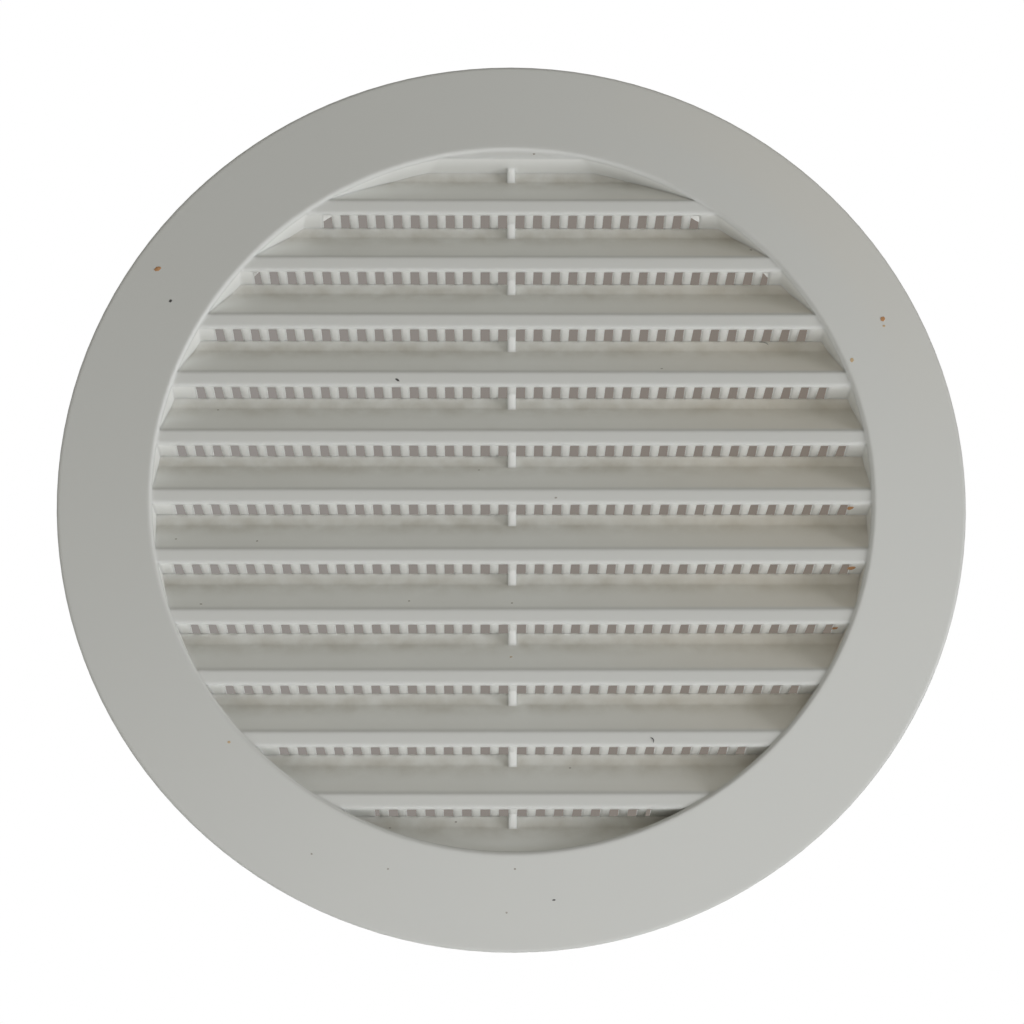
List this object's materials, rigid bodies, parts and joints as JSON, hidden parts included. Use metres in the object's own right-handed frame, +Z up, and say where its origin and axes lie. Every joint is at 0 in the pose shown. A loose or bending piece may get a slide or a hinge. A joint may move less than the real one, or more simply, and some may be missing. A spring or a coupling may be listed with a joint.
{
  "type": "round vent cover",
  "caption": "Round one-piece moulded wall vent cover with a shallow conical flange, fixed sloping louvres, slotted ledges that keep insects out, and a rear spigot that enters a round duct.",
  "frame": {"origin": "on the spigot's axis, in the plane of the wall that the flange's back bears on", "axes": "+Y along the spigot into the duct, away from the viewer; +Z up as the cover hangs on the wall, with the louvres shedding rain downwards; +X to the right as seen from the front"},
  "size_m": [0.1496, 0.0279, 0.1496],
  "materials": {
    "moulded_plastic": "satin, as moulded"
  },
  "bodies": {
    "root": {"vent_cover": "moulded_plastic"}
  },
  "joints": []
}
